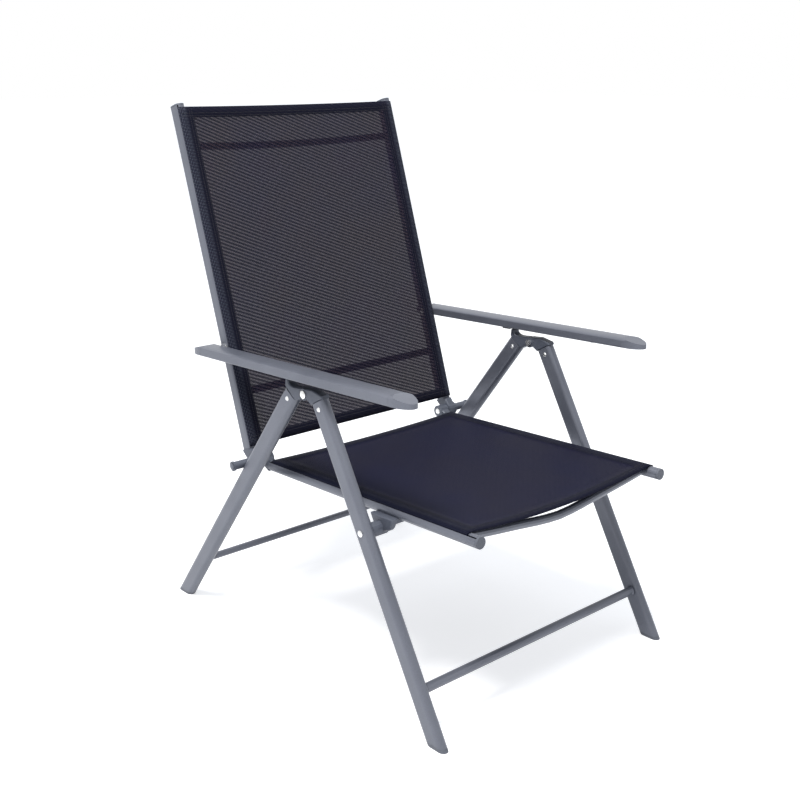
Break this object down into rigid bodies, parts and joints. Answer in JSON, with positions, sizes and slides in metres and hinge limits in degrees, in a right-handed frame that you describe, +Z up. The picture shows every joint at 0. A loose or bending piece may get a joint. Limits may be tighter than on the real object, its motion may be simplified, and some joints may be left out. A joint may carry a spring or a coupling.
{
  "type": "folding sling patio chair",
  "caption": "High-back folding patio chair: grey flat-oval tube frame, dark mesh slings, armrests with notched racks for reclining.",
  "frame": {"origin": "middle of the footprint's bounding box, on the floor", "axes": "+X across the chair, +Y to the rear, +Z up; the sitter faces -Y"},
  "size_m": [0.6772, 0.893, 1.0811],
  "materials": {
    "painted_tube": "satin blue-grey powder coat on tube",
    "painted_casting": "satin blue-grey coat on castings and sleeves",
    "end_plug": "matte grey moulded plastic",
    "zinc_fastener": "bright zinc plate",
    "rack_plastic": "black moulded plastic",
    "mesh_fabric": "coated open-weave mesh, dark navy with a brown cast"
  },
  "bodies": {
    "rear_leg_frame": {"rear_leg_left": "painted_tube", "rear_leg_right": "painted_tube", "rear_crossbar": "painted_tube", "rear_hinge_insert_left": "painted_casting", "rear_hinge_insert_right": "painted_casting", "rear_insert_rivet_left": "zinc_fastener", "rear_insert_rivet_right": "zinc_fastener", "rear_foot_left": "end_plug", "rear_foot_right": "end_plug"},
    "front_leg_frame": {"front_leg_left": "painted_tube", "front_leg_right": "painted_tube", "front_crossbar": "painted_tube", "front_hinge_insert_left": "painted_casting", "front_hinge_insert_right": "painted_casting", "front_insert_rivet_left": "zinc_fastener", "front_insert_rivet_right": "zinc_fastener", "front_foot_left": "end_plug", "front_foot_right": "end_plug", "apex_bolt_left": "zinc_fastener", "apex_bolt_right": "zinc_fastener", "seat_bolt_left": "zinc_fastener", "seat_bolt_right": "zinc_fastener"},
    "seat_frame": {"seat_rail_left": "painted_tube", "seat_rail_right": "painted_tube", "seat_rail_cap_left": "end_plug", "seat_rail_cap_right": "end_plug", "seat_front_bow": "painted_tube", "seat_rear_bar": "painted_tube", "seat_sling": "mesh_fabric", "seat_pivot_bracket_left": "painted_casting", "seat_pivot_bracket_right": "painted_casting", "seat_hinge_casting_left": "painted_casting", "seat_hinge_casting_right": "painted_casting"},
    "hinge_pins": {"hinge_pin_left": "zinc_fastener", "hinge_pin_right": "zinc_fastener", "glide_sleeve_left": "painted_casting", "glide_sleeve_right": "painted_casting"},
    "back_frame": {"back_rail_left": "painted_tube", "back_rail_right": "painted_tube", "back_rail_cap_left": "end_plug", "back_rail_cap_right": "end_plug", "back_top_bar": "painted_tube", "back_lower_bar": "painted_tube", "back_sling": "mesh_fabric", "back_hinge_casting_left": "painted_casting", "back_hinge_casting_right": "painted_casting"},
    "arm_pivots": {"arm_pivot_bolt_left": "zinc_fastener", "arm_pivot_bolt_right": "zinc_fastener"},
    "armrest_left": {"armrest_left": "painted_tube", "armrest_rack_left": "rack_plastic", "armrest_front_cap_left": "painted_tube", "armrest_rear_cap_left": "painted_tube"},
    "armrest_right": {"armrest_right": "painted_tube", "armrest_rack_right": "rack_plastic", "armrest_front_cap_right": "painted_tube", "armrest_rear_cap_right": "painted_tube"}
  },
  "joints": [
    {"name": "fold", "type": "hinge", "parent": "rear_leg_frame", "child": "front_leg_frame", "pos_m": [0, -0.04733, 0.573], "axis": [1, 0, 0], "range_deg": [0, 66.5]},
    {"name": "seat_fold", "type": "hinge", "parent": "front_leg_frame", "child": "seat_frame", "pos_m": [0, -0.21118, 0.34831], "axis": [1, 0, 0], "range_deg": [-97.39, 0]},
    {"name": "pins_fold", "type": "hinge", "parent": "seat_frame", "child": "hinge_pins", "pos_m": [0, 0.17619, 0.37451], "axis": [1, 0, 0], "range_deg": [0, 90.74]},
    {"name": "recline", "type": "hinge", "parent": "hinge_pins", "child": "back_frame", "pos_m": [0, 0.17619, 0.37451], "axis": [-1, 0, 0], "range_deg": [0, 42]},
    {"name": "arms_recline", "type": "hinge", "parent": "back_frame", "child": "arm_pivots", "pos_m": [0, 0.26084, 0.5962], "axis": [-1, 0, 0], "range_deg": [-26.76, 0]},
    {"name": "armrest_fold_left", "type": "hinge", "parent": "arm_pivots", "child": "armrest_left", "pos_m": [0, 0.26084, 0.5962], "axis": [1, 0, 0], "range_deg": [-128.65, 0]},
    {"name": "armrest_fold_right", "type": "hinge", "parent": "arm_pivots", "child": "armrest_right", "pos_m": [0, 0.26084, 0.5962], "axis": [1, 0, 0], "range_deg": [-128.65, 0]}
  ],
  "couplings": [
    {"joint": "seat_fold", "follows": "fold", "ratio": -1.46},
    {"joint": "pins_fold", "follows": "fold", "ratio": 1.36},
    {"joint": "arms_recline", "follows": "recline", "ratio": -0.63},
    {"joint": "armrest_fold_left", "follows": "fold", "ratio": -1.93},
    {"joint": "armrest_fold_right", "follows": "fold", "ratio": -1.93}
  ]
}
